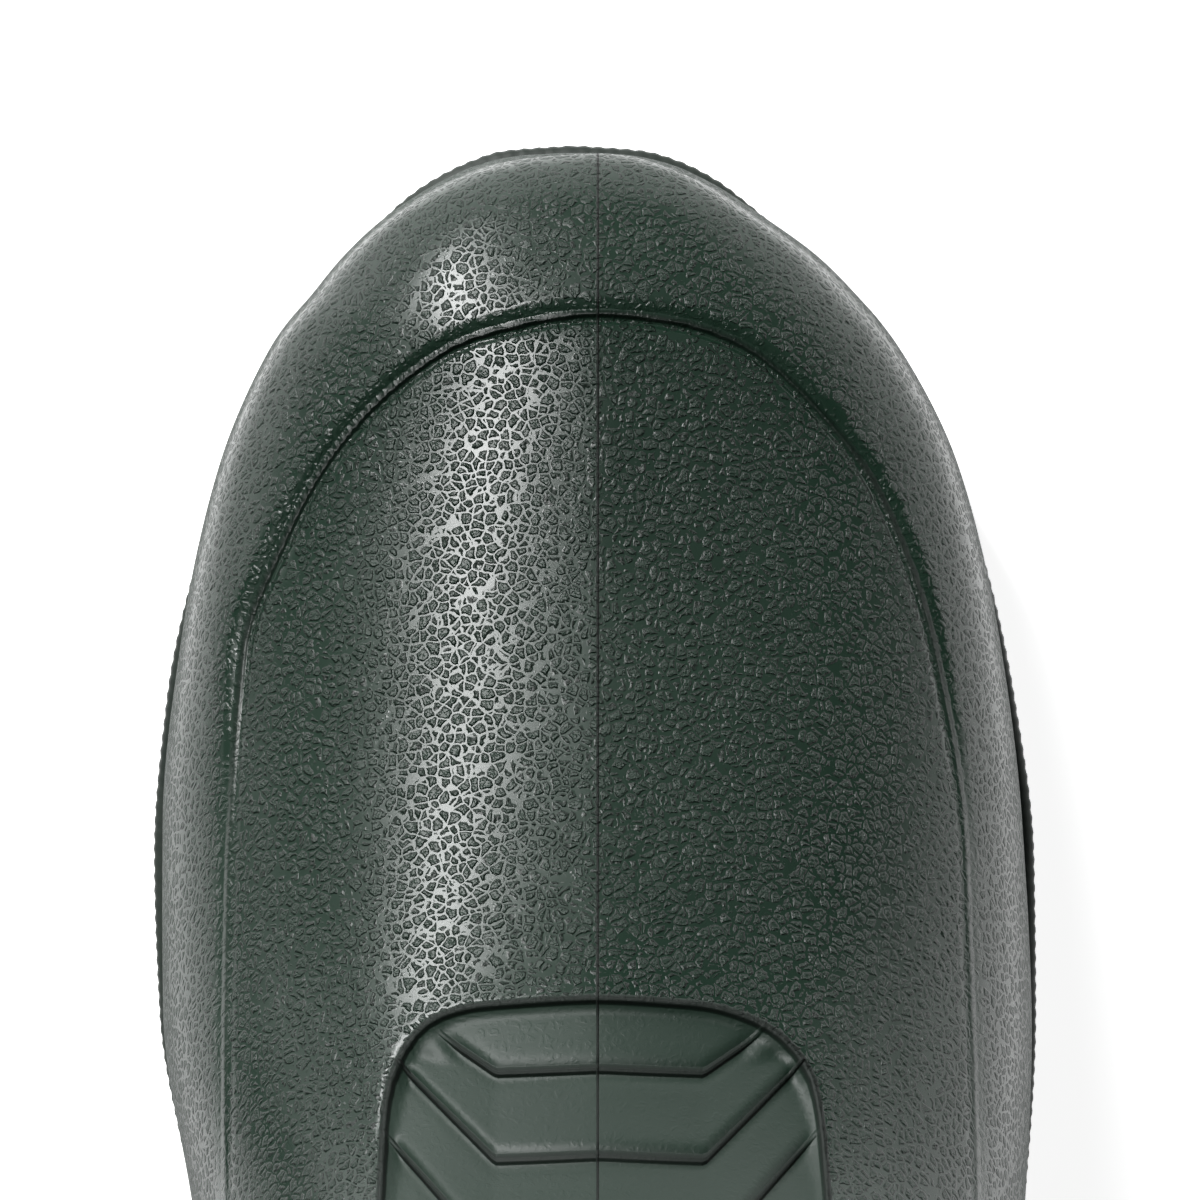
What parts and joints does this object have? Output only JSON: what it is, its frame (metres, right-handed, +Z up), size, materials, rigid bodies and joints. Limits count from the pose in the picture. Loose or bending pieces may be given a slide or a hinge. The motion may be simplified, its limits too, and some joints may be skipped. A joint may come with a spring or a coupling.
{
  "type": "chest waders",
  "caption": "Bootfoot chest waders: moulded boots welded to fabric legs and a chest-high body, with waist belt, bib pocket and crossed shoulder straps with release buckles.",
  "frame": {"origin": "middle of the base of the garment as it stands", "axes": "+Z up, toes towards -Y, the wearer's left side towards +X"},
  "size_m": [0.453, 0.382, 1.4924],
  "materials": {
    "boot_pvc": "moulded dark green PVC with a fine raised pebble grain, satin",
    "sole_pvc": "matt dark green cleated sole",
    "wader_fabric": "olive green coated nylon, fine plain weave",
    "patch_fabric": "darker green coated reinforcement fabric",
    "webbing": "black woven webbing",
    "plastic": "black moulded acetal",
    "foam": "dark grey felt-faced foam insole"
  },
  "bodies": {
    "garment": {"crotch_gusset": "patch_fabric", "front_bib_panel": "wader_fabric", "back_panel": "wader_fabric", "chest_edge_binding": "webbing", "right_hip_seam_tape": "patch_fabric", "right_chest_seam_tape": "patch_fabric", "right_boot_upper": "boot_pvc", "right_outsole": "sole_pvc", "right_insole": "foam", "right_leg_fabric": "wader_fabric", "right_knee_patch": "patch_fabric", "right_weld_band": "patch_fabric", "right_front_belt_loop": "patch_fabric", "right_back_belt_loop": "patch_fabric", "right_strap_socket": "plastic", "right_front_tab": "webbing", "right_front_webbing": "webbing", "right_elastic_strap": "webbing", "left_hip_seam_tape": "patch_fabric", "left_chest_seam_tape": "patch_fabric", "left_boot_upper": "boot_pvc", "left_outsole": "sole_pvc", "left_insole": "foam", "left_leg_fabric": "wader_fabric", "left_knee_patch": "patch_fabric", "left_weld_band": "patch_fabric", "left_front_belt_loop": "patch_fabric", "left_back_belt_loop": "patch_fabric", "left_strap_socket": "plastic", "left_front_tab": "webbing", "left_front_webbing": "webbing", "left_elastic_strap": "webbing", "waist_belt_webbing": "webbing", "belt_buckle_socket": "plastic", "chest_pocket_pouch": "wader_fabric", "strap_cross_patch": "patch_fabric"},
    "belt_plug": {"belt_buckle_plug": "plastic"},
    "pocket_flap": {"chest_pocket_flap": "patch_fabric"},
    "right_plug": {"right_strap_plug": "plastic"},
    "right_adjuster": {"right_strap_adjuster": "plastic"},
    "left_plug": {"left_strap_plug": "plastic"},
    "left_adjuster": {"left_strap_adjuster": "plastic"}
  },
  "joints": [
    {"name": "belt_buckle_release", "type": "slide", "parent": "garment", "child": "belt_plug", "axis": [-1, 0, 0], "range_m": [0, 0.025]},
    {"name": "pocket_flap_lift", "type": "hinge", "parent": "garment", "child": "pocket_flap", "pos_m": [0, -0.12385, 1.2612], "axis": [-1, 0, 0], "range_deg": [0, 85]},
    {"name": "right_buckle_release", "type": "slide", "parent": "garment", "child": "right_plug", "axis": [0.0887, 0.6991, 0.7095], "range_m": [0, 0.025]},
    {"name": "right_strap_length", "type": "slide", "parent": "garment", "child": "right_adjuster", "axis": [0.0887, 0.6991, 0.7095], "range_m": [-0.005, 0.035]},
    {"name": "left_buckle_release", "type": "slide", "parent": "garment", "child": "left_plug", "axis": [-0.0887, 0.6991, 0.7095], "range_m": [0, 0.025]},
    {"name": "left_strap_length", "type": "slide", "parent": "garment", "child": "left_adjuster", "axis": [-0.0887, 0.6991, 0.7095], "range_m": [-0.005, 0.035]}
  ]
}
